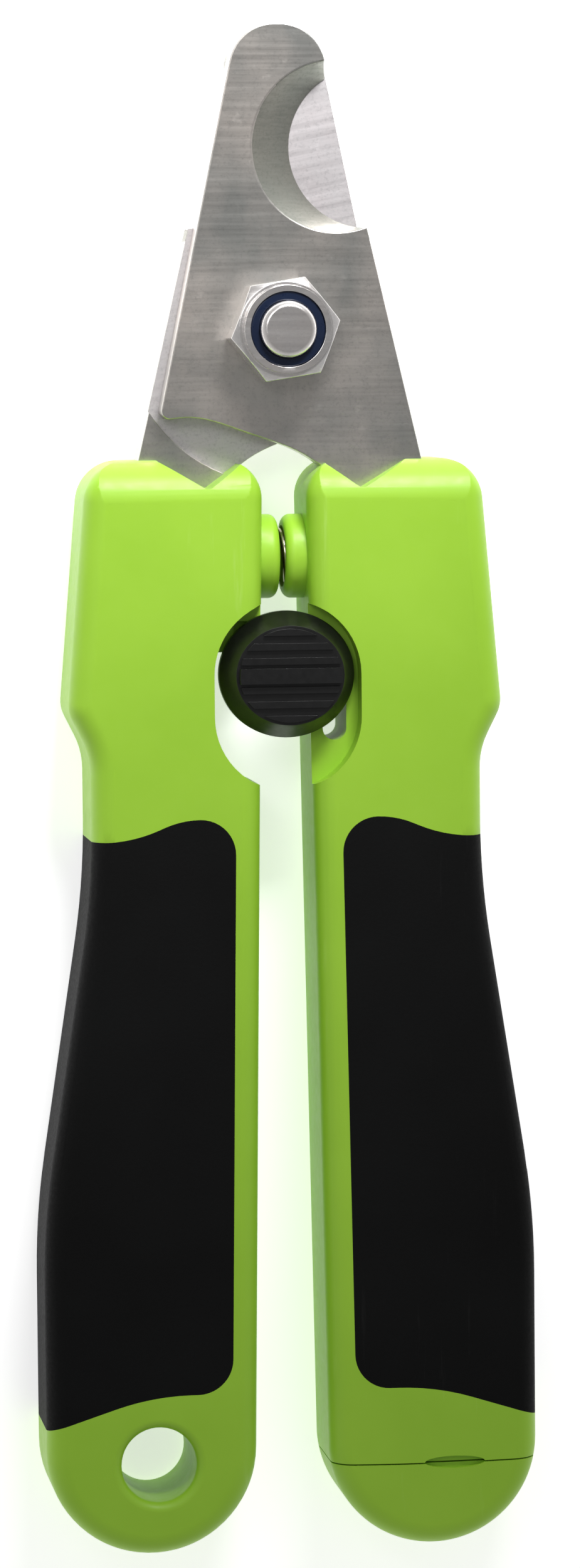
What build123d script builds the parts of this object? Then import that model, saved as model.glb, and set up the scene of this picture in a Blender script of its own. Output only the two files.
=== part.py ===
from build123d import *
from math import atan2, tan
import os

# Scissor nail clipper for pets: two stainless blades on one bolt, moulded handles with soft grips, a coil
# spring that opens them, a thumb lock between the handles and a nail file kept inside the right handle.
#
# Millimetres, +Z up. The clipper lies flat on its back with the blade tips towards +Y. The origin is under
# the middle of its footprint, so Z = 0 is the surface that it lies on. "Left" and "right" are as seen from
# the front, with the tips up. Outline points are offsets from the pivot axis.

# Overall size
blade_reach = 31.6              # pivot axis to the blade tips
handle_reach = 128.0            # pivot axis to the handle ends
handle_thickness = 13.0
handle_half_width = 26.0        # centre line to the widest part of a handle

# Blades
blade_thickness = 3.0           # over the lap and the cutting part
blade_gap = 0.06                # running gap between the two blades
tip_radius = 4.8
tip_left = 4.25                 # tip corners, before they are rounded
tip_right = 3.95
heel_corner = (-12.8, -9.5)
heel_radius = 0.9
belly_hump = (-9.2, -9.05)      # four points on the lower edge, from the heel to the tang
belly_middle = (-3.6, -10.65)
belly_end = (4.2, -14.25)
tang_root = (7.9, -17.45)
shoulder = (9.5, 9.25)          # right edge, just below the notch

# Cutting notch: a slanting round grind, from the cutting edge on the inner face to a larger ring in front
notch_y = 18.9
notch_edge_x = 9.85
notch_edge_radius = 8.35
notch_rim_x = 6.0
notch_rim_radius = 8.9
notch_overrun = 0.6             # how far the grind is carried past both faces

# Tang
lap_radius = 16.0               # the stock is milled down inside this circle
tang_step = 1.0                 # extra stock left on the tang, towards the other blade
tang_inner_x = 9.0
tang_outer_x = 16.3
tang_shoulder_y = 20.0
tang_reach = 46.0
tang_end_radius = 2.5
tang_hole_radius = 1.9
tang_hole_reaches = (27.0, 38.0)

# Pivot bolt and locking nut
bolt_radius = 2.95
bolt_clearance = 0.05           # radial, in both blades
bolt_head_radius = 5.25
bolt_head_lift = 0.9            # head to the surface that the clipper lies on
bolt_head_rounding = 1.2
bolt_socket_flats = 4.0
bolt_socket_depth = 1.3
bolt_end_proud = 0.9            # past the nut
bolt_end_chamfer = 0.5
nut_flats = 10.0
nut_height = 6.0
nut_hex_height = 4.5
nut_collar_radius = 4.55
nut_turn = 9.0                  # degrees, as the nut happened to stop
nut_turned_depth = 0.5          # corners of the hexagon, turned down at the top
nut_turned_width = 0.9
nut_gap = 0.05                  # under the nut, so that the front blade turns
insert_radius = 3.9
insert_height = 1.5
insert_sink = 0.2               # below the rim of the collar

# Handle outline
inner_gap_top = 2.25            # centre line to the inner wall, at the top
inner_gap_end = 3.85            # and where the end starts to round
handle_top = 13.45              # pivot axis to the top of the handles
handle_shoulder_x = 20.6
top_outer_radius = 4.5
top_inner_radius = 4.0
finger_stop = (22.8, -39.35)
finger_stop_radius = 3.5
step_foot_y = -43.95
step_foot_radius = 8.0
waist_x = 20.5
waist_end_y = -57.55            # the side flares from here
bulge_from_end = 35.1           # down to here, from the handle's end
flare_blend = 6.5               # straight length taken up by the curve at each end of the flare
edge_radius = 2.3               # long edges, front and back
top_face_radius = 4.4           # front and back faces, where they meet the top

# V shaped relief in the top of each handle, which lets the other blade's heel pass
relief_outer = (13.0, -13.55)
relief_bottom = (8.05, -16.55)
relief_inner = (4.5, -13.95)
relief_radius = 0.7
relief_lead = 6.0               # the relief is carried this far above the handle

# Spring and the bosses that hold it
boss_reach = 23.6               # pivot axis to the spring's axis
boss_radius = 4.4
boss_gap = 0.6                  # between the two bosses, closed
boss_rounding = 0.9
spring_radius = 3.0             # outside
spring_wire_radius = 0.4
spring_turns = 8
spring_clearance = 0.25         # around the spring in its bores
spring_bore_depth = 7.2         # from the face of a boss
spring_end_gap = 0.05
boss_root = 1.5                 # how far a boss runs into its handle

# Soft grips, moulded round the outside of the handles
grip_depth = 1.8
grip_from_wall = 2.75           # inner wall to the edge of the grip
grip_top_peak = 50.65           # pivot axis to the grip's top, on its inner half
grip_top_peak_x = 11.3
grip_top_outer = 52.85          # and on its outer half
grip_top_outer_x = 16.4
grip_end_margin = 17.0          # handle end to the grip's end, on its inner half
grip_end_bend_x = 15.0          # the grip's end slopes down from here outwards
grip_end_slope = 0.32           # drop per millimetre outwards
grip_corner_radius = 3.7
grip_peak_radius = 9.5
grip_foot_radius = 15.0
grip_bend_radius = 26.0

# Hang hole in the left handle
hang_hole_radius = 3.95
hang_hole_margin = 9.6          # handle end to the hole's axis
hang_hole_x = 14.3
hang_hole_rounding = 1.0

# Thumb lock
lock_x = 0.0
lock_reach = 35.7
lock_travel = 4.4
lock_half_width = 7.1
lock_half_length = 6.6
lock_rim_inset = 1.45           # the top is this much smaller all round
lock_height = 3.9
lock_shoulder_height = 2.9      # of the sloping shoulder
lock_lift = 0.5                 # underside to the floor of its track
lock_ridge_width = 0.7
lock_ridge_pitch = 1.5
lock_ridge_count = 7
lock_ridge_height = 0.35
lock_ridge_inset = 0.3          # ridges stop this far inside the top's rim
lock_bar_width = 1.6
lock_bar_height = 0.9
track_margin = 0.6              # round the button
track_cover = 0.9               # plastic left over the tang
catch_ledge_above = 2.3         # ledge to the button's middle; below it the left handle is cut right through
catch_lip_width = 1.0
catch_lip_height = 0.3
catch_lip_length = 1.3
catch_lip_inset = 2.5           # side of the button to the lip's middle
catch_groove_depth = 0.9
catch_groove_reach = 3.2        # ledge to the end of the groove
slot_x = 5.2
neck_width = 2.0
neck_length = 4.8
neck_clearance = 0.25           # round the neck, the lip and the retainer
retainer_width = 3.3
retainer_length = 6.8
retainer_thickness = 1.5
retainer_edge_break = 0.3
retainer_lift = 0.6             # retainer to the surface that the clipper lies on
retainer_clearance = 0.5

# Nail file and the cap that carries it
cap_length = 8.9                # handle end to the seam, in the middle
cap_seam_bow = 0.9
cap_seam_gap = 0.15
nail_relief_x = 17.0            # thumbnail relief across the seam, in front
nail_relief_length = 6.4
nail_relief_width = 1.3
nail_relief_depth = 0.7
file_width = 8.6
file_thickness = 1.2
file_tip_gap = 5.0              # end of the tang to the file's tip
file_tip_radius = 3.0
file_root = 5.0                 # how deep the file sits in the cap
file_clearance = 0.3
plug_length = 7.0
plug_width = 9.8
plug_thickness = 4.4
plug_clearance = 0.2
plug_rounding = 0.6
cap_root = 1.5                  # the plug runs this far back into the cap

# Places that follow from the sizes above
end_radius = (handle_half_width - inner_gap_end) / 2
end_y = -(handle_reach - end_radius)
end_x = inner_gap_end + end_radius
bulge_y = -(handle_reach - bulge_from_end)
flare_angle = atan2(handle_half_width - waist_x, waist_end_y - bulge_y)
flare_radius = flare_blend / tan(flare_angle / 2)
pivot_y = (handle_reach - blade_reach) / 2
mid_z = handle_thickness / 2
front_inner_z = mid_z + blade_gap / 2
front_face_z = front_inner_z + blade_thickness
rear_face_z = mid_z - blade_gap / 2 - blade_thickness
bolt_head_z = bolt_head_lift
nut_z = front_face_z + nut_gap
nut_top_z = nut_z + nut_height
bolt_end_z = nut_top_z + bolt_end_proud
track_floor_z = front_face_z + track_cover
track_radius = lock_half_width + track_margin
catch_ledge = lock_reach - catch_ledge_above
catch_lip_x = lock_x - lock_half_width + catch_lip_inset
button_z = track_floor_z + lock_lift
button_top_z = button_z + lock_height
seam_reach = handle_reach - cap_length
file_tip_reach = tang_reach + file_tip_gap
file_x = (inner_gap_end + waist_x) / 2
grip_end_reach = handle_reach - grip_end_margin
retainer_z = retainer_lift
retainer_top_z = retainer_z + retainer_thickness
back_track_z = retainer_top_z + retainer_clearance
hole_y = -(handle_reach - hang_hole_margin)
nut_corner_radius = nut_flats / 3**0.5
past = 10.0                     # how far a cutting shape is carried past what it cuts
near = 0.01                     # tolerance when edges and corners are picked by place

# The rear half is the front half turned over about this line
turn_over = Axis((0, pivot_y, mid_z), (0, 1, 0))


def level(z):
    """The plane at height z whose origin is on the pivot axis."""
    return Plane(origin=(0, pivot_y, z))


def side_plane(x):
    """The plane at x, seen from +X: its own x runs along +Y from the pivot axis and its y is height."""
    return Plane(origin=(x, pivot_y, 0), x_dir=(0, 1, 0), z_dir=(1, 0, 0))


def inner_wall_x(reach):
    """Centre line to the inner wall of a handle, at a distance below the pivot axis."""
    share = (reach - handle_top) / (handle_reach - end_radius - handle_top)
    return inner_gap_top + (inner_gap_end - inner_gap_top) * share


def file_plane(reach):
    """The plane across the nail file at a distance below the pivot axis, seen from the handle's end."""
    return Plane(origin=(file_x, pivot_y - reach, mid_z), x_dir=(1, 0, 0), z_dir=(0, 1, 0))


def save(builder, name):
    """Label a finished piece and write it."""
    builder.part.label = name
    export_step(builder.part, "parts/" + name + ".step")


os.makedirs("parts", exist_ok=True)

# ---------------------------------------------------------------- blades
with BuildPart() as front_blade:
    with BuildSketch(level(front_inner_z)) as blade_sketch:
        with BuildLine():
            tip_edge = Line((tip_right, blade_reach), (-tip_left, blade_reach))
            back_edge = Line(tip_edge @ 1, heel_corner)
            belly = Spline(
                back_edge @ 1,
                belly_hump,
                belly_middle,
                belly_end,
                tang_root,
                (tang_inner_x, -tang_shoulder_y),
                tangents=[(1, 0.3), (0, -1)],
            )
            Polyline(
                belly @ 1,
                (tang_inner_x, -tang_reach),
                (tang_outer_x, -tang_reach),
                (tang_outer_x, -tang_shoulder_y),
                shoulder,
                tip_edge @ 0,
            )
        make_face()
        fillet(blade_sketch.vertices().group_by(Axis.Y)[-1], radius=tip_radius)
        fillet(blade_sketch.vertices().sort_by(Axis.X)[0], radius=heel_radius)
        fillet(blade_sketch.vertices().group_by(Axis.Y)[0], radius=tang_end_radius)
    extrude(amount=blade_thickness)
    # The tang keeps its full stock outside the lap circle
    with BuildSketch(level(front_inner_z - tang_step)):
        add(blade_sketch.sketch_local)
        Circle(lap_radius, mode=Mode.SUBTRACT)
        with Locations((0, blade_reach / 2)):
            Rectangle(4 * tang_reach, blade_reach + lap_radius, mode=Mode.SUBTRACT)
    extrude(amount=tang_step)
    # Slanting round grind that makes the cutting edge
    notch_slope = (notch_rim_x - notch_edge_x) / blade_thickness
    notch_growth = (notch_rim_radius - notch_edge_radius) / blade_thickness
    for overrun in (-notch_overrun, blade_thickness + notch_overrun):
        with BuildSketch(level(front_inner_z + overrun)):
            with Locations((notch_edge_x + notch_slope * overrun, notch_y)):
                Circle(notch_edge_radius + notch_growth * overrun)
    loft(mode=Mode.SUBTRACT)
    with BuildSketch(level(front_inner_z - tang_step)):
        Circle(bolt_radius + bolt_clearance)
        for reach in tang_hole_reaches:
            with Locations(((tang_inner_x + tang_outer_x) / 2, -reach)):
                Circle(tang_hole_radius)
    extrude(amount=blade_thickness + tang_step, mode=Mode.SUBTRACT)
save(front_blade, "front_blade")

with BuildPart() as rear_blade:
    add(front_blade.part.rotate(turn_over, 180))
save(rear_blade, "rear_blade")

# ---------------------------------------------------------------- pivot bolt and locking nut
with BuildPart() as pivot_bolt:
    with BuildSketch(level(bolt_head_z)):
        Circle(bolt_head_radius)
    extrude(amount=rear_face_z - bolt_head_z)
    fillet(pivot_bolt.edges().group_by(Axis.Z)[0], radius=bolt_head_rounding)
    with BuildSketch(level(bolt_head_z)):
        RegularPolygon(bolt_socket_flats / 2, 6, major_radius=False)
    extrude(amount=bolt_socket_depth, mode=Mode.SUBTRACT)
    with BuildSketch(level(rear_face_z)):
        Circle(bolt_radius)
    extrude(amount=bolt_end_z - rear_face_z)
    chamfer(pivot_bolt.edges().group_by(Axis.Z)[-1], length=bolt_end_chamfer)
save(pivot_bolt, "pivot_bolt")

with BuildPart() as pivot_nut:
    with BuildSketch(level(nut_z)):
        RegularPolygon(nut_flats / 2, 6, major_radius=False, rotation=nut_turn)
    extrude(amount=nut_hex_height)
    # The corners are turned down to the flats, at the top and at the bottom
    with BuildSketch(side_plane(0)):
        with Locations((nut_corner_radius / 2, nut_z + nut_hex_height / 2)):
            turned = Rectangle(nut_corner_radius, nut_hex_height)
        chamfer(turned.vertices().group_by(Axis.Y)[-1], length=nut_turned_depth, length2=nut_turned_width)
    revolve(axis=Axis((0, pivot_y, 0), (0, 0, 1)), mode=Mode.INTERSECT)
    with BuildSketch(level(nut_z + nut_hex_height)):
        Circle(nut_collar_radius)
    extrude(amount=nut_height - nut_hex_height)
    with BuildSketch(level(nut_top_z)):
        Circle(insert_radius)
    extrude(amount=-(insert_height + insert_sink), mode=Mode.SUBTRACT)
    with BuildSketch(level(nut_z)):
        Circle(bolt_radius)
    extrude(amount=nut_height, mode=Mode.SUBTRACT)
save(pivot_nut, "pivot_nut")

with BuildPart() as nut_insert:
    with BuildSketch(level(nut_top_z - insert_sink)):
        Circle(insert_radius)
        Circle(bolt_radius, mode=Mode.SUBTRACT)
    extrude(amount=-insert_height)
save(nut_insert, "nut_insert")

# ---------------------------------------------------------------- outer shape of a handle, right side
with BuildSketch() as handle_outline:
    with BuildLine():
        outer_side = Polyline(
            (inner_gap_top, -handle_top),
            (handle_shoulder_x, -handle_top),
            finger_stop,
            (waist_x, step_foot_y),
            (waist_x, waist_end_y),
            (handle_half_width, bulge_y),
            (handle_half_width, end_y),
        )
        end_arc = ThreePointArc(outer_side @ 1, (end_x, -handle_reach), (inner_gap_end, end_y))
        Line(end_arc @ 1, outer_side @ 0)
    make_face()
    for corner, radius in (
        ((inner_gap_top, -handle_top), top_inner_radius),
        ((handle_shoulder_x, -handle_top), top_outer_radius),
        (finger_stop, finger_stop_radius),
        ((waist_x, step_foot_y), step_foot_radius),
        ((waist_x, waist_end_y), flare_radius),
        ((handle_half_width, bulge_y), flare_radius),
    ):
        fillet(handle_outline.vertices().sort_by_distance(corner)[0], radius=radius)

with BuildPart() as envelope:
    with BuildSketch(level(0)):
        add(handle_outline.sketch)
    extrude(amount=handle_thickness)
    faces_up_and_down = envelope.faces().filter_by(Axis.Z)
    fillet(faces_up_and_down.edges(), radius=edge_radius)
    # Side profile, rounded where the faces meet the top
    with BuildSketch(side_plane(0)) as profile_sketch:
        with Locations((-(handle_reach + past + handle_top) / 2, mid_z)):
            Rectangle(handle_reach + past - handle_top, handle_thickness)
        fillet(profile_sketch.vertices().group_by(Axis.Y)[-1], radius=top_face_radius)
    extrude(amount=handle_half_width + past, both=True, mode=Mode.INTERSECT)

# ---------------------------------------------------------------- soft grips
with BuildPart() as right_grip:
    add(envelope.part)
    with BuildSketch(level(0)) as grip_sketch:
        grip_top_x = inner_wall_x(grip_top_peak) + grip_from_wall
        grip_end_x = inner_wall_x(grip_end_reach) + grip_from_wall
        grip_outside_x = handle_half_width + past
        grip_drop = grip_end_slope * (grip_outside_x - grip_end_bend_x)
        with BuildLine():
            Polyline(
                (grip_top_x, -grip_top_peak),
                (grip_top_peak_x, -grip_top_peak),
                (grip_top_outer_x, -grip_top_outer),
                (grip_outside_x, -grip_top_outer),
                (grip_outside_x, -(grip_end_reach + grip_drop)),
                (grip_end_bend_x, -grip_end_reach),
                (grip_end_x, -grip_end_reach),
                close=True,
            )
        make_face()
        for corner, radius in (
            ((grip_top_x, -grip_top_peak), grip_corner_radius),
            ((grip_end_x, -grip_end_reach), grip_corner_radius),
            ((grip_top_peak_x, -grip_top_peak), grip_peak_radius),
            ((grip_top_outer_x, -grip_top_outer), grip_foot_radius),
            ((grip_end_bend_x, -grip_end_reach), grip_bend_radius),
        ):
            fillet(grip_sketch.vertices().sort_by_distance(corner)[0], radius=radius)
    extrude(amount=handle_thickness, mode=Mode.INTERSECT)
    # The handle's own core, which the grip wraps on three sides
    with BuildSketch(level(grip_depth)):
        add(handle_outline.sketch)
        offset(amount=-grip_depth, mode=Mode.REPLACE)
    extrude(amount=handle_thickness - 2 * grip_depth, mode=Mode.SUBTRACT)
save(right_grip, "right_grip")

with BuildPart() as left_grip:
    add(mirror(right_grip.part, about=Plane.YZ))
save(left_grip, "left_grip")

# ---------------------------------------------------------------- return spring
with BuildPart() as return_spring:
    spring_length = boss_gap + 2 * spring_bore_depth - 2 * spring_end_gap
    spring_coil_radius = spring_radius - spring_wire_radius
    with BuildLine() as coil_line:
        Helix(
            pitch=(spring_length - 2 * spring_wire_radius) / spring_turns,
            height=spring_length - 2 * spring_wire_radius,
            radius=spring_coil_radius,
            center=(-(spring_length / 2 - spring_wire_radius), pivot_y - boss_reach, mid_z),
            direction=(1, 0, 0),
        )
    with BuildSketch(coil_line.line ^ 0):
        Circle(spring_wire_radius)
    sweep(is_frenet=True)
save(return_spring, "return_spring")


def handle_body(own_envelope, own_grip, own_blade, side):
    """One moulded handle: the envelope less its grip and blade, with its spring boss. side is 1 or -1."""
    boss_plane = Plane(origin=(side * boss_gap / 2, pivot_y - boss_reach, mid_z), z_dir=(side, 0, 0))
    with BuildPart() as handle:
        add(own_envelope)
        # Relief for the other blade's heel
        with BuildSketch(level(0)) as relief_sketch:
            with BuildLine():
                Polyline(
                    (side * relief_bottom[0], relief_bottom[1]),
                    (side * relief_outer[0], relief_outer[1]),
                    (side * relief_outer[0], relief_outer[1] + relief_lead),
                    (side * relief_inner[0], relief_outer[1] + relief_lead),
                    (side * relief_inner[0], relief_inner[1]),
                    close=True,
                )
            make_face()
            fillet(relief_sketch.vertices().group_by(Axis.Y)[0], radius=relief_radius)
        extrude(amount=handle_thickness, mode=Mode.SUBTRACT)
        # Spring boss, with a rounded mouth
        with BuildSketch(boss_plane):
            Circle(boss_radius)
        extrude(amount=inner_gap_end + boss_root)
        mouth = handle.edges().filter_by(GeomType.CIRCLE).filter_by_position(
            Axis.X, side * boss_gap / 2 - near, side * boss_gap / 2 + near
        )
        fillet(mouth, radius=boss_rounding)
        with BuildSketch(boss_plane):
            Circle(spring_radius + spring_clearance)
        extrude(amount=spring_bore_depth, mode=Mode.SUBTRACT)
        add(own_grip, mode=Mode.SUBTRACT)
        add(own_blade, mode=Mode.SUBTRACT)
    return handle


# ---------------------------------------------------------------- left handle
left_envelope = mirror(envelope.part, about=Plane.YZ)
left_body = handle_body(left_envelope, left_grip.part, rear_blade.part, -1)

with BuildPart() as left_handle:
    add(left_body.part)
    # Track for the lock button, cut right through below the ledge that the lock catches on
    with BuildSketch(level(track_floor_z)) as track_sketch:
        with Locations((lock_x, -(lock_reach + lock_travel / 2))):
            SlotCenterToCenter(lock_travel, 2 * track_radius, rotation=90)
    extrude(amount=handle_thickness, mode=Mode.SUBTRACT)
    with BuildSketch(level(0)):
        add(track_sketch.sketch_local)
        with Locations((lock_x, -catch_ledge)):
            Rectangle(
                4 * track_radius,
                4 * track_radius,
                align=(Align.CENTER, Align.MIN),
                mode=Mode.SUBTRACT,
            )
    extrude(amount=handle_thickness, mode=Mode.SUBTRACT)
    # Groove behind which the lock's lip sits
    with BuildSketch(level(track_floor_z - catch_groove_depth)):
        with Locations((catch_lip_x, -catch_ledge)):
            Rectangle(
                catch_lip_width + 2 * neck_clearance,
                2 * catch_groove_reach,
                align=(Align.CENTER, Align.CENTER),
            )
    extrude(amount=catch_groove_depth, mode=Mode.SUBTRACT)
    # Hang hole with rounded rims
    with Locations(Plane(origin=(-hang_hole_x, pivot_y + hole_y, handle_thickness))):
        Hole(hang_hole_radius)
    rims = left_handle.edges().filter_by(GeomType.CIRCLE)
    rims = rims.filter_by(lambda rim: abs(rim.radius - hang_hole_radius) < near)
    fillet(rims, radius=hang_hole_rounding)
save(left_handle, "left_handle")

# ---------------------------------------------------------------- right handle, end cap and nail file
right_body = handle_body(envelope.part, right_grip.part, front_blade.part, 1)


def below_seam(reach):
    """Everything past the end cap's bowed seam, at a distance below the pivot axis."""
    with BuildSketch() as below:
        with BuildLine():
            bow = ThreePointArc(
                (-past, -(reach - cap_seam_bow)),
                (end_x, -reach),
                (2 * end_x + past, -(reach - cap_seam_bow)),
            )
            Polyline(bow @ 1, (bow @ 1) - (0, 4 * past), (bow @ 0) - (0, 4 * past), bow @ 0)
        make_face()
    return below.sketch


# Thumbnail relief, cut into the handle and the cap where their seam crosses it
with BuildPart() as nail_relief:
    with BuildSketch(level(handle_thickness)):
        with Locations((nail_relief_x, -seam_reach)):
            Ellipse(nail_relief_length / 2, nail_relief_width / 2)
    extrude(amount=-nail_relief_depth)

# The lock's through slot and the button's track
slot_top = -(lock_reach - neck_length / 2 - neck_clearance)
slot_end = -(lock_reach + lock_travel + neck_length / 2 + neck_clearance)
with BuildPart() as right_handle:
    add(right_body.part)
    with BuildSketch(level(0)):
        add(below_seam(seam_reach))
    extrude(amount=handle_thickness, mode=Mode.SUBTRACT)
    with BuildSketch(level(track_floor_z)):
        add(track_sketch.sketch_local)
    extrude(amount=handle_thickness, mode=Mode.SUBTRACT)
    with BuildSketch(level(0)):
        with Locations((slot_x, (slot_top + slot_end) / 2)):
            SlotOverall(slot_top - slot_end, neck_width + 2 * neck_clearance, rotation=90)
    extrude(amount=handle_thickness, mode=Mode.SUBTRACT)
    # Recess for the retainer, in the back
    with BuildSketch(level(0)):
        with Locations((slot_x, -(lock_reach + lock_travel / 2))):
            SlotOverall(
                retainer_length + lock_travel + 2 * neck_clearance,
                retainer_width + 2 * neck_clearance,
                rotation=90,
            )
    extrude(amount=back_track_z, mode=Mode.SUBTRACT)
    # Socket for the cap's plug, and the file's pocket beyond it
    with BuildSketch(file_plane(seam_reach)):
        Rectangle(plug_width + 2 * plug_clearance, plug_thickness + 2 * plug_clearance)
    extrude(amount=plug_length + file_clearance, mode=Mode.SUBTRACT)
    with BuildSketch(file_plane(seam_reach)):
        Rectangle(file_width + 2 * file_clearance, file_thickness + 2 * file_clearance)
    extrude(amount=seam_reach - file_tip_reach + file_clearance, mode=Mode.SUBTRACT)
    add(nail_relief.part, mode=Mode.SUBTRACT)
save(right_handle, "right_handle")

with BuildPart() as file_cap:
    add(envelope.part)
    with BuildSketch(level(0)):
        add(below_seam(seam_reach + cap_seam_gap))
    extrude(amount=handle_thickness, mode=Mode.INTERSECT)
    with BuildSketch(file_plane(seam_reach + cap_root)):
        Rectangle(plug_width, plug_thickness)
    extrude(amount=plug_length + cap_root)
    plug_corners = file_cap.edges().filter_by(Axis.Y).filter_by_position(
        Axis.Y, pivot_y - seam_reach, pivot_y - seam_reach + plug_length
    )
    fillet(plug_corners, radius=plug_rounding)
    # Slot that the file is set in
    with BuildSketch(file_plane(seam_reach + file_root)):
        Rectangle(file_width, file_thickness)
    extrude(amount=plug_length + file_root + past, mode=Mode.SUBTRACT)
    add(nail_relief.part, mode=Mode.SUBTRACT)
save(file_cap, "file_cap")

with BuildPart() as nail_file:
    with BuildSketch(level(mid_z - file_thickness / 2)) as file_sketch:
        with Locations((file_x, -(seam_reach + file_root + file_tip_reach) / 2)):
            Rectangle(file_width, seam_reach + file_root - file_tip_reach)
        fillet(file_sketch.vertices().group_by(Axis.Y)[-1], radius=file_tip_radius)
    extrude(amount=file_thickness)
save(nail_file, "nail_file")

# ---------------------------------------------------------------- thumb lock
ridge_half_width = lock_half_width - lock_rim_inset - lock_ridge_inset
ridge_half_length = lock_half_length - lock_rim_inset - lock_ridge_inset
with BuildPart() as lock_button:
    # Domed button, slightly wider than long
    with BuildSketch(level(button_z)):
        with Locations((lock_x, -lock_reach)):
            Ellipse(lock_half_width, lock_half_length)
    extrude(amount=lock_height)
    top_rim = lock_button.edges().group_by(Axis.Z)[-1]
    chamfer(top_rim, length=lock_shoulder_height, length2=lock_rim_inset)
    # Ridges across the top, with one high bar in the middle
    with BuildSketch(level(button_top_z)):
        with Locations((lock_x, -lock_reach)):
            with GridLocations(0, lock_ridge_pitch, 1, lock_ridge_count):
                Rectangle(2 * lock_half_width, lock_ridge_width)
            Ellipse(ridge_half_width, ridge_half_length, mode=Mode.INTERSECT)
    extrude(amount=lock_ridge_height)
    with BuildSketch(level(button_top_z)):
        with Locations((lock_x, -lock_reach)):
            Rectangle(2 * lock_half_width, lock_bar_width)
            Ellipse(ridge_half_width, ridge_half_length, mode=Mode.INTERSECT)
    extrude(amount=lock_bar_height)
    # Neck through the handle, staked into the retainer
    with BuildSketch(level(retainer_z)) as neck_sketch:
        with Locations((slot_x, -lock_reach)):
            SlotOverall(neck_length, neck_width, rotation=90)
    extrude(amount=button_z - retainer_z)
    # Lip that sits behind the left handle's ledge
    with BuildSketch(level(button_z - catch_lip_height)):
        with Locations((catch_lip_x, -catch_ledge + neck_clearance)):
            Rectangle(catch_lip_width, catch_lip_length, align=(Align.CENTER, Align.MIN))
    extrude(amount=catch_lip_height)
save(lock_button, "lock_button")

with BuildPart() as lock_retainer:
    with BuildSketch(level(retainer_z)):
        with Locations((slot_x, -lock_reach)):
            SlotOverall(retainer_length, retainer_width, rotation=90)
        add(neck_sketch.sketch_local, mode=Mode.SUBTRACT)
    extrude(amount=retainer_thickness)
    retainer_back = lock_retainer.faces().sort_by(Axis.Z)[0]
    chamfer(retainer_back.outer_wire().edges(), length=retainer_edge_break)
save(lock_retainer, "lock_retainer")
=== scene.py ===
import bpy
from math import cos, pi, radians, sin
from mathutils import Matrix, Vector


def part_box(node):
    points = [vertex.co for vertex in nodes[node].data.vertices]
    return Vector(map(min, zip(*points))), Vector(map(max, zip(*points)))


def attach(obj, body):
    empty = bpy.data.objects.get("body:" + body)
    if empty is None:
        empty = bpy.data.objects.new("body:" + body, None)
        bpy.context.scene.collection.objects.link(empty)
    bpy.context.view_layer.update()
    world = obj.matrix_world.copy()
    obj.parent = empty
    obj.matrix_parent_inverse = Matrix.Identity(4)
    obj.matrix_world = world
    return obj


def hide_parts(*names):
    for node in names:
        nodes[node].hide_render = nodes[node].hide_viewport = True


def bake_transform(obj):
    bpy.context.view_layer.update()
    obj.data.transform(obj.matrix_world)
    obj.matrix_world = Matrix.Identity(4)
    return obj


# Scissor nail clipper for pets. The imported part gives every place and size, in metres: the clipper lies on its
# back with the blade tips towards +Y and the nut up.
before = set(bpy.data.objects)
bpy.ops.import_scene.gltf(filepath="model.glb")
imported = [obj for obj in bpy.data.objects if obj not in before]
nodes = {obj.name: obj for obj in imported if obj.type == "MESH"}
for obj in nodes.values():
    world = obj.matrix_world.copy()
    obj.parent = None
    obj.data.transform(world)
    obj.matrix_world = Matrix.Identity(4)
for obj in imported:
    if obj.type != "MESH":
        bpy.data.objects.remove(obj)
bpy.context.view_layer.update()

mm = 0.001
bolt_low, bolt_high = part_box("pivot_bolt")
pivot = Vector(((bolt_low.x + bolt_high.x) / 2, (bolt_low.y + bolt_high.y) / 2, 0))


# ---------------------------------------------------------------- shop tools
def drop_selection():
    bpy.ops.object.select_all(action="DESELECT")


def take(piece):
    """Makes the piece the only selected and active object."""
    drop_selection()
    piece.select_set(True)
    bpy.context.view_layer.objects.active = piece


def work_on(piece):
    """Opens the piece for editing with nothing selected in it."""
    take(piece)
    bpy.ops.object.mode_set(mode="EDIT")
    bpy.ops.mesh.select_mode(type="VERT")
    bpy.ops.mesh.select_all(action="DESELECT")


def done():
    bpy.ops.object.mode_set(mode="OBJECT")


def copy_of(node, name):
    """A clean, joined-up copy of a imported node's mesh, as a new piece."""
    piece = bpy.data.objects.new(name, nodes[node].data.copy())
    bpy.context.scene.collection.objects.link(piece)
    piece.data.materials.clear()
    work_on(piece)
    if piece.data.has_custom_normals:
        bpy.ops.mesh.customdata_custom_splitnormals_clear()
    bpy.ops.mesh.select_all(action="SELECT")
    bpy.ops.mesh.remove_doubles(threshold=0.002 * mm)
    bpy.ops.mesh.dissolve_limited(angle_limit=radians(0.4))
    bpy.ops.mesh.normals_make_consistent(inside=False)
    done()
    return piece


def soften_edges(piece, width, segments=2, sharper_than=32.0):
    """Rounds every edge that turns by more than the given angle."""
    bevel = piece.modifiers.new("soft_edges", "BEVEL")
    bevel.width = width
    bevel.segments = segments
    bevel.limit_method = "ANGLE"
    bevel.angle_limit = radians(sharper_than)
    bevel.use_clamp_overlap = True
    take(piece)
    bpy.ops.object.modifier_apply(modifier=bevel.name)


def smooth(piece, angle=38.0):
    """Shades the rounded edges smoothly and leaves the flat faces flat."""
    take(piece)
    bpy.ops.object.shade_smooth_by_angle(angle=radians(angle))
    flats = piece.modifiers.new("flat_faces", "WEIGHTED_NORMAL")
    flats.weight = 100
    flats.keep_sharp = True
    bpy.ops.object.modifier_apply(modifier=flats.name)


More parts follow.
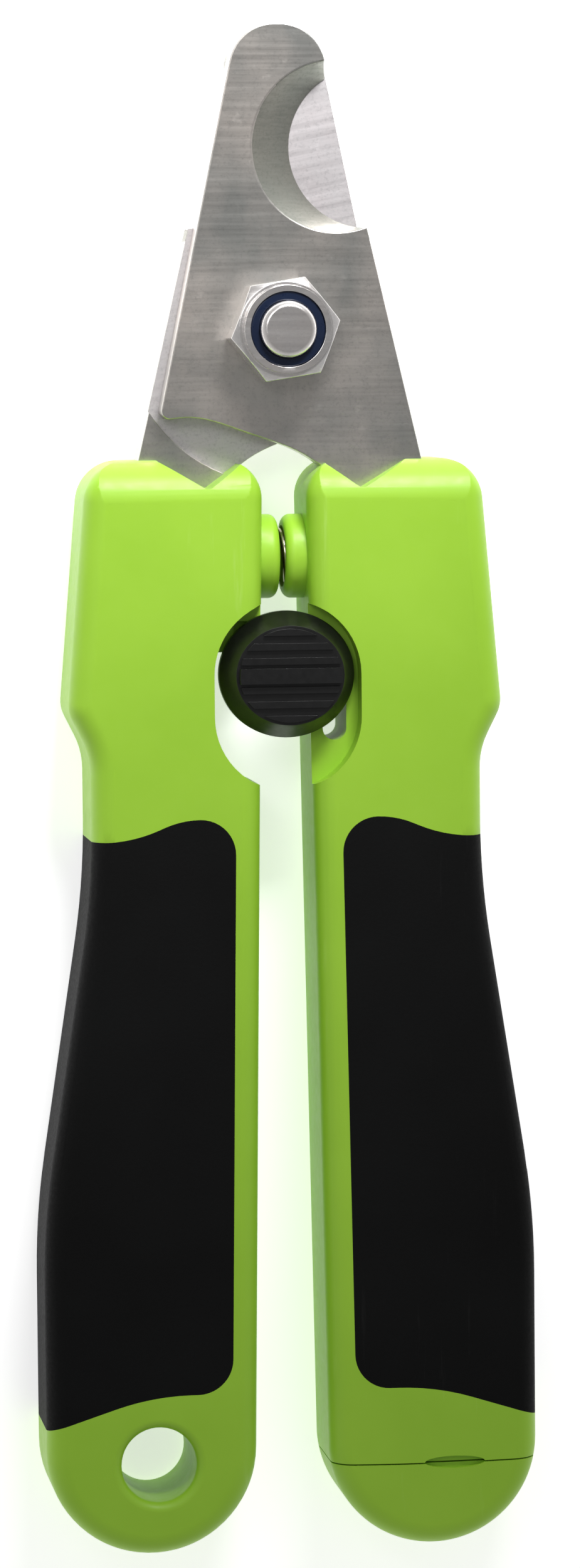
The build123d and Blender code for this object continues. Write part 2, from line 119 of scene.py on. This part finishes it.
def finish_with(piece, *finishes):
    for finish in finishes:
        piece.data.materials.append(finish)


def paint_faces(piece, slot, wanted):
    """Gives the finish in that slot to the faces that wanted(centre, normal) picks."""
    for face in piece.data.polygons:
        if wanted(face.center, face.normal):
            face.material_index = slot


# ---------------------------------------------------------------- effects shared by finishes
def new_group(name, inputs, outputs):
    """An empty effect with named inputs, as (name, kind, value), and named outputs, as (name, kind)."""
    group = bpy.data.node_groups.new(name, "ShaderNodeTree")
    for label, kind, value in inputs:
        socket = group.interface.new_socket(name=label, in_out="INPUT", socket_type=kind)
        socket.default_value = value
    for label, kind in outputs:
        group.interface.new_socket(name=label, in_out="OUTPUT", socket_type=kind)
    return group, group.nodes.new("NodeGroupInput"), group.nodes.new("NodeGroupOutput")


def noise(tree, vector, scale, detail=3.0, rough=0.55):
    """A noise node on a vector. scale is a number or an output."""
    node = tree.nodes.new("ShaderNodeTexNoise")
    node.inputs["Detail"].default_value = detail
    node.inputs["Roughness"].default_value = rough
    tree.links.new(vector, node.inputs["Vector"])
    if isinstance(scale, (int, float)):
        node.inputs["Scale"].default_value = scale
    else:
        tree.links.new(scale, node.inputs["Scale"])
    return node.outputs["Fac"]


def maths(tree, operation, a, b, clamp=False):
    node = tree.nodes.new("ShaderNodeMath")
    node.operation = operation
    node.use_clamp = clamp
    for socket, value in ((node.inputs[0], a), (node.inputs[1], b)):
        if isinstance(value, (int, float)):
            socket.default_value = value
        else:
            tree.links.new(value, socket)
    return node.outputs[0]


def ramp(tree, value, low, high, to_low=0.0, to_high=1.0):
    """Stretches a value from low..high to to_low..to_high."""
    node = tree.nodes.new("ShaderNodeMapRange")
    tree.links.new(value, node.inputs["Value"])
    for label, number in (("From Min", low), ("From Max", high), ("To Min", to_low), ("To Max", to_high)):
        if isinstance(number, (int, float)):
            node.inputs[label].default_value = number
        else:
            tree.links.new(number, node.inputs[label])
    return node.outputs["Result"]


def mix_colours(tree, share, first, second):
    node = tree.nodes.new("ShaderNodeMix")
    node.data_type = "RGBA"
    tree.links.new(share, node.inputs["Factor"])
    for socket, colour in ((node.inputs[6], first), (node.inputs[7], second)):
        if isinstance(colour, tuple):
            socket.default_value = (*colour, 1.0)
        else:
            tree.links.new(colour, socket)
    return node.outputs[2]


def stretched(tree, vector, x, y, z):
    """The vector scaled along each axis, to draw a pattern out."""
    node = tree.nodes.new("ShaderNodeMapping")
    node.inputs["Scale"].default_value = (x, y, z)
    tree.links.new(vector, node.inputs["Vector"])
    return node.outputs["Vector"]


def make_moulded_skin():
    """Skin of a moulding: a broad cloudiness, a fine orange peel and a few light rubs."""
    group, given, out = new_group(
        "moulded_skin",
        [("Place", "NodeSocketVector", (0, 0, 0)), ("Peel", "NodeSocketFloat", 900.0)],
        [("Cloud", "NodeSocketFloat"), ("Height", "NodeSocketFloat"), ("Rubs", "NodeSocketFloat")],
    )
    place, peel = given.outputs["Place"], given.outputs["Peel"]
    group.links.new(noise(group, place, 70.0, 3.0), out.inputs["Cloud"])
    coarse = noise(group, place, peel, 2.0)
    fine = noise(group, place, maths(group, "MULTIPLY", peel, 4.3), 3.0)
    height = maths(group, "ADD", coarse, maths(group, "MULTIPLY", fine, 0.35))
    group.links.new(height, out.inputs["Height"])
    streaks = noise(group, stretched(group, place, 900.0, 60.0, 300.0), 1.0, 4.0, 0.7)
    patches = noise(group, place, 45.0, 2.0)
    rubs = maths(group, "MULTIPLY", ramp(group, streaks, 0.62, 0.74), ramp(group, patches, 0.5, 0.66))
    group.links.new(rubs, out.inputs["Rubs"])
    return group


def make_brushing():
    """Grinding lines along X, over a blotchy tint, as on tumbled stainless sheet."""
    group, given, out = new_group(
        "brushing",
        [("Place", "NodeSocketVector", (0, 0, 0)), ("Pitch", "NodeSocketFloat", 2600.0)],
        [("Lines", "NodeSocketFloat"), ("Tint", "NodeSocketFloat"), ("Scuffs", "NodeSocketFloat"),
         ("Specks", "NodeSocketFloat")],
    )
    place, pitch = given.outputs["Place"], given.outputs["Pitch"]
    drawn = stretched(group, place, 0.035, 1.0, 0.2)
    lines = noise(group, drawn, pitch, 4.0, 0.6)
    broad = noise(group, stretched(group, place, 0.12, 1.0, 0.3), maths(group, "MULTIPLY", pitch, 0.14), 2.0)
    mixed = maths(group, "ADD", lines, maths(group, "MULTIPLY", broad, 0.6))
    group.links.new(mixed, out.inputs["Lines"])
    group.links.new(noise(group, stretched(group, place, 1.0, 0.55, 1.0), 95.0, 3.0, 0.6), out.inputs["Tint"])
    scuffs = ramp(group, noise(group, place, 420.0, 5.0, 0.75), 0.6, 0.72)
    group.links.new(scuffs, out.inputs["Scuffs"])
    group.links.new(ramp(group, noise(group, place, 3200.0, 3.0, 0.7), 0.5, 0.75), out.inputs["Specks"])
    return group


moulded_skin = make_moulded_skin()
brushing = make_brushing()


def new_finish(name, roughness, metallic=0.0, specular=0.5, coat=0.0):
    """A material with its principled shader and object coordinates: (material, tree, shader, place)."""
    finish = bpy.data.materials.new(name)
    finish.use_nodes = True
    tree = finish.node_tree
    shader = tree.nodes["Principled BSDF"]
    shader.inputs["Roughness"].default_value = roughness
    shader.inputs["Metallic"].default_value = metallic
    shader.inputs["Specular IOR Level"].default_value = specular
    shader.inputs["Coat Weight"].default_value = coat
    place = tree.nodes.new("ShaderNodeTexCoord").outputs["Object"]
    return finish, tree, shader, place


def effect(tree, group, **values):
    """A shared effect placed in a finish, with its inputs given by value or output."""
    node = tree.nodes.new("ShaderNodeGroup")
    node.node_tree = group
    for label, value in values.items():
        if isinstance(value, (int, float)):
            node.inputs[label].default_value = value
        else:
            tree.links.new(value, node.inputs[label])
    return node.outputs


def bump(tree, shader, height, strength, distance):
    node = tree.nodes.new("ShaderNodeBump")
    node.inputs["Strength"].default_value = strength
    node.inputs["Distance"].default_value = distance
    tree.links.new(height, node.inputs["Height"])
    tree.links.new(node.outputs["Normal"], shader.inputs["Normal"])


def moulded_finish(name, light, dark, rubbed, roughness, roughness_spread, peel, strength, specular=0.5):
    """A moulded plastic or rubber: two close colours, a peel on the skin and pale rubs."""
    finish, tree, shader, place = new_finish(name, roughness, specular=specular)
    skin = effect(tree, moulded_skin, Place=place, Peel=peel)
    share = ramp(tree, skin["Cloud"], 0.3, 0.7)
    colour = mix_colours(tree, share, dark, light)
    colour = mix_colours(tree, maths(tree, "MULTIPLY", skin["Rubs"], 0.35), colour, rubbed)
    tree.links.new(colour, shader.inputs["Base Color"])
    low, high = roughness - roughness_spread, roughness + roughness_spread
    tree.links.new(ramp(tree, skin["Height"], 0.4, 0.95, low, high), shader.inputs["Roughness"])
    bump(tree, shader, skin["Height"], strength, 0.05 * mm)
    return finish


def steel_finish(name, cool, warm, roughness, spread, pitch, strength, lines=0.2, turn=0.0, specks=0.5):
    """Ground or tumbled steel: two tints of grey, drawn lines, fine specks and small scuffs."""
    finish, tree, shader, place = new_finish(name, roughness, metallic=1.0)
    turned = tree.nodes.new("ShaderNodeMapping")
    turned.inputs["Rotation"].default_value = (0, 0, radians(turn))
    tree.links.new(place, turned.inputs["Vector"])
    ground = effect(tree, brushing, Place=turned.outputs["Vector"], Pitch=pitch)
    tint = mix_colours(tree, ramp(tree, ground["Tint"], 0.36, 0.66), cool, warm)
    darker = tuple(0.55 * c for c in cool)
    lined = mix_colours(tree, ramp(tree, ground["Lines"], 0.7, 1.0, 0.0, lines), tint, darker)
    specked = mix_colours(tree, maths(tree, "MULTIPLY", ground["Specks"], specks), lined, darker)
    tree.links.new(specked, shader.inputs["Base Color"])
    rough = ramp(tree, ground["Lines"], 0.55, 1.05, roughness - spread, roughness + spread)
    rough = maths(tree, "ADD", rough, maths(tree, "MULTIPLY", ground["Scuffs"], 0.06))
    tree.links.new(rough, shader.inputs["Roughness"])
    bump(tree, shader, ground["Lines"], strength, 0.02 * mm)
    return finish


# ---------------------------------------------------------------- finishes
lime_plastic = moulded_finish(
    "lime_plastic", (0.330, 0.60, 0.040), (0.300, 0.56, 0.032), (0.46, 0.70, 0.16), 0.44, 0.05, 1100.0, 0.10,
    specular=0.4,
)
grip_rubber = moulded_finish(
    "grip_rubber", (0.0045, 0.0047, 0.0047), (0.003, 0.003, 0.003), (0.02, 0.02, 0.02), 0.68, 0.08, 2600.0, 0.35,
    specular=0.12,
)
lock_plastic = moulded_finish(
    "lock_plastic", (0.0035, 0.0036, 0.0036), (0.002, 0.002, 0.0022), (0.02, 0.02, 0.02), 0.36, 0.05, 1500.0, 0.04,
    specular=0.5,
)
ring_nylon = moulded_finish(
    "ring_nylon", (0.006, 0.013, 0.036), (0.004, 0.007, 0.020), (0.02, 0.035, 0.07), 0.3, 0.05, 1500.0, 0.15,
    specular=0.3,
)
blade_steel = steel_finish("blade_steel", (0.44, 0.44, 0.42), (0.74, 0.68, 0.63), 0.32, 0.04, 2600.0, 0.02, 0.05, specks=0.35)
# The notch's ground steel is rougher, as a real grind is; its darker base colour is painted shade in the notch.
ground_steel_shaded = steel_finish("ground_steel_shaded", (0.27, 0.28, 0.25), (0.33, 0.32, 0.28), 0.45, 0.05, 3600.0, 0.02, 0.3)
lapped_steel = steel_finish(
    "lapped_steel", (0.74, 0.72, 0.73), (0.78, 0.73, 0.74), 0.42, 0.07, 1700.0, 0.2, 0.25, turn=-12.0
)
nut_zinc = steel_finish("nut_zinc", (0.84, 0.83, 0.83), (0.88, 0.83, 0.80), 0.24, 0.06, 1900.0, 0.08, 0.15, specks=0.2)
spring_steel = steel_finish("spring_steel", (0.55, 0.53, 0.5), (0.6, 0.52, 0.42), 0.22, 0.05, 2400.0, 0.05, 0.1)


def make_file_finish():
    """Steel with the crossing cuts of a nail file."""
    finish, tree, shader, place = new_finish("file_steel", 0.36, metallic=1.0)
    cuts = []
    for turn in (35.0, -40.0):
        turned = tree.nodes.new("ShaderNodeMapping")
        turned.inputs["Rotation"].default_value = (0, 0, radians(turn))
        tree.links.new(place, turned.inputs["Vector"])
        wave = tree.nodes.new("ShaderNodeTexWave")
        wave.inputs["Scale"].default_value = 620.0
        wave.inputs["Distortion"].default_value = 0.3
        wave.inputs["Detail Scale"].default_value = 4.0
        tree.links.new(turned.outputs["Vector"], wave.inputs["Vector"])
        cuts.append(wave.outputs["Fac"])
    crossed = maths(tree, "MULTIPLY", cuts[0], cuts[1])
    tree.links.new(mix_colours(tree, crossed, (0.36, 0.36, 0.35), (0.68, 0.67, 0.65)), shader.inputs["Base Color"])
    worn = noise(tree, place, 300.0, 4.0)
    tree.links.new(ramp(tree, worn, 0.3, 0.7, 0.28, 0.45), shader.inputs["Roughness"])
    bump(tree, shader, crossed, 0.6, 0.05 * mm)
    return finish


file_steel = make_file_finish()


# ---------------------------------------------------------------- handles, grips and end cap
def moulding(node, name, body, finish, edge):
    piece = copy_of(node, name)
    soften_edges(piece, edge)
    smooth(piece)
    finish_with(piece, finish)
    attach(piece, body)
    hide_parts(node)
    return piece


left_moulding = moulding("left_handle", "left_moulding", "left_half", lime_plastic, 0.3 * mm)
right_moulding = moulding("right_handle", "right_moulding", "right_half", lime_plastic, 0.3 * mm)
end_cap = moulding("file_cap", "end_cap", "file", lime_plastic, 0.2 * mm)
left_rubber = moulding("left_grip", "left_rubber", "left_half", grip_rubber, 0.35 * mm)
right_rubber = moulding("right_grip", "right_rubber", "right_half", grip_rubber, 0.35 * mm)


# ---------------------------------------------------------------- blades
def blade(node, name, body, side):
    """A blade with rounded edges. side is 1 for the front blade, whose outer face is up, and -1 for the rear."""
    piece = copy_of(node, name)
    soften_edges(piece, 0.5 * mm, 4)
    smooth(piece, 30.0)
    finish_with(piece, blade_steel, ground_steel_shaded, lapped_steel)
    low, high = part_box(node)
    inner_z = low.z + mm if side > 0 else high.z - mm
    notch = Vector((side * 8.4 * mm, pivot.y + 18.9 * mm))

    def in_notch(centre, normal):
        reach = (Vector(centre[:2]) - notch).length
        facing_in = normal.x * (notch.x - centre.x) + normal.y * (notch.y - centre.y) > 0
        return abs(normal.z) < 0.9 and reach < 11.0 * mm and facing_in

    paint_faces(piece, 2, lambda centre, normal: normal.z * side < -0.9 and abs(centre.z - inner_z) < 0.2 * mm)
    # The notch walls get the ground steel, which is rougher and has painted shade in its darker colour.
    paint_faces(piece, 1, in_notch)
    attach(piece, body)
    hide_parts(node)
    return piece


front_steel = blade("front_blade", "front_steel", "right_half", 1)
rear_steel = blade("rear_blade", "rear_steel", "left_half", -1)


# ---------------------------------------------------------------- pivot
def hardware(node, name, body, finish, edge, segments=2):
    piece = copy_of(node, name)
    soften_edges(piece, edge, segments, 25.0)
    smooth(piece, 32.0)
    finish_with(piece, finish)
    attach(piece, body)
    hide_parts(node)
    return piece


bolt = hardware("pivot_bolt", "bolt", "left_half", nut_zinc, 0.2 * mm)
nut = hardware("pivot_nut", "nut", "left_half", nut_zinc, 0.15 * mm)
nylon_ring = hardware("nut_insert", "nylon_ring", "left_half", ring_nylon, 0.2 * mm, 3)


# ---------------------------------------------------------------- return spring
def coil_spring():
    """A compression spring wound with the screw tool, between the two bosses."""
    low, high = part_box("return_spring")
    middle = (low + high) / 2
    wire = 0.4 * mm
    coil_radius = (high.z - low.z) / 2 - wire
    turns = 8
    drop_selection()
    bpy.ops.mesh.primitive_circle_add(vertices=12, radius=wire, location=(0, coil_radius, 0), rotation=(0, pi / 2, 0))
    spring = bpy.context.object
    spring.name = "spring"
    bpy.ops.object.transform_apply(location=True, rotation=True, scale=True)
    # The wire's section stands across the winding, which runs round X
    work_on(spring)
    bpy.ops.mesh.select_all(action="SELECT")
    bpy.ops.transform.rotate(value=pi / 2, orient_axis="Y", center_override=(0, coil_radius, 0))
    done()
    winding = spring.modifiers.new("winding", "SCREW")
    winding.axis = "X"
    winding.angle = 2 * pi
    winding.iterations = turns
    winding.steps = 30
    winding.screw_offset = (high.x - low.x - 2 * wire) / turns
    take(spring)
    bpy.ops.object.modifier_apply(modifier=winding.name)
    work_on(spring)
    bpy.ops.mesh.select_all(action="SELECT")
    bpy.ops.mesh.remove_doubles(threshold=0.001 * mm)
    bpy.ops.mesh.select_all(action="DESELECT")
    bpy.ops.mesh.select_non_manifold()
    bpy.ops.mesh.edge_face_add()
    bpy.ops.mesh.select_all(action="SELECT")
    bpy.ops.mesh.normals_make_consistent(inside=False)
    bpy.ops.transform.translate(value=(low.x + wire - min(v.co.x for v in spring.data.vertices) - wire, middle.y, middle.z))
    done()
    smooth(spring, 60.0)
    finish_with(spring, spring_steel)
    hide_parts("return_spring")
    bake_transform(spring)
    return spring


spring = coil_spring()


# ---------------------------------------------------------------- lock
lock = hardware("lock_button", "lock", "lock", lock_plastic, 0.3 * mm, 3)
for node, finish in (("lock_retainer", lock_plastic), ("nail_file", file_steel)):
    nodes[node].data.materials.clear()
    nodes[node].data.materials.append(finish)


# ---------------------------------------------------------------- floor, lights and camera
def lay_floor():
    drop_selection()
    bpy.ops.mesh.primitive_plane_add(size=6.0, location=(0, 0, 0))
    floor = bpy.context.object
    floor.name = "floor"
    finish, tree, shader, place = new_finish("floor_paint", 0.9, specular=0.1)
    tone = mix_colours(tree, noise(tree, place, 6.0, 2.0), (0.90, 0.90, 0.90), (0.93, 0.93, 0.93))
    tree.links.new(tone, shader.inputs["Base Color"])
    shader.inputs["Emission Color"].default_value = (1, 1, 1, 1)
    shader.inputs["Emission Strength"].default_value = 0.6
    finish_with(floor, finish)


def facing(place, aim, roll=0.0):
    """The turn that points an object's -Z from place to aim with +Y up, rolled clockwise."""
    forward = (aim - place).normalized()
    right = forward.cross(Vector((0, 1, 0))).normalized()
    up = right.cross(forward)
    turn = Matrix((right, up, -forward)).transposed()
    return (turn @ Matrix.Rotation(-roll, 3, "Z")).to_euler()


def hang_light(name, place, aim, width, height, power, spread=180.0):
    lamp = bpy.data.lights.new(name, "AREA")
    lamp.shape = "RECTANGLE"
    lamp.size = width
    lamp.size_y = height
    lamp.energy = power
    lamp.spread = radians(spread)
    holder = bpy.data.objects.new(name, lamp)
    holder.location = place
    holder.rotation_euler = facing(Vector(place), Vector(aim))
    bpy.context.scene.collection.objects.link(holder)


def light_studio():
    """A room that is dim overhead and bright near the floor, and a soft key light beyond the tips."""
    world = bpy.data.worlds.new("studio")
    bpy.context.scene.world = world
    world.use_nodes = True
    tree = world.node_tree
    sky = tree.nodes["Background"]
    sky.inputs["Color"].default_value = (1, 1, 1, 1)
    height = tree.nodes.new("ShaderNodeSeparateXYZ")
    tree.links.new(tree.nodes.new("ShaderNodeTexCoord").outputs["Generated"], height.inputs[0])
    tree.links.new(ramp(tree, height.outputs["Z"], 0.1, 1.0, 0.58, 0.25), sky.inputs["Strength"])
    hang_light("key", (0.06, 0.36, 0.24), (0, 0.13, 0), 0.14, 0.10, 0.235, 40.0)
    hang_light("fill", (-0.16, 0.24, 0.42), (0, 0.09, 0), 0.2, 0.2, 0.03, 36.0)


def set_camera():
    place = pivot + Vector((-77.0 * mm, -3.3 * mm, 559.9 * mm))
    aim = pivot + Vector((1.0 * mm, -47.6 * mm, 6.5 * mm))
    camera = bpy.data.objects.new("camera", bpy.data.cameras.new("camera"))
    camera.data.lens = 122.4
    camera.data.sensor_width = 36.0
    camera.data.clip_start = 0.01
    camera.data.clip_end = 20.0
    camera.location = place
    camera.rotation_euler = facing(place, aim, 0.0092)
    bpy.context.scene.collection.objects.link(camera)
    bpy.context.scene.camera = camera


lay_floor()
light_studio()
set_camera()
bpy.context.scene.view_settings.view_transform = "Standard"

drop_selection()
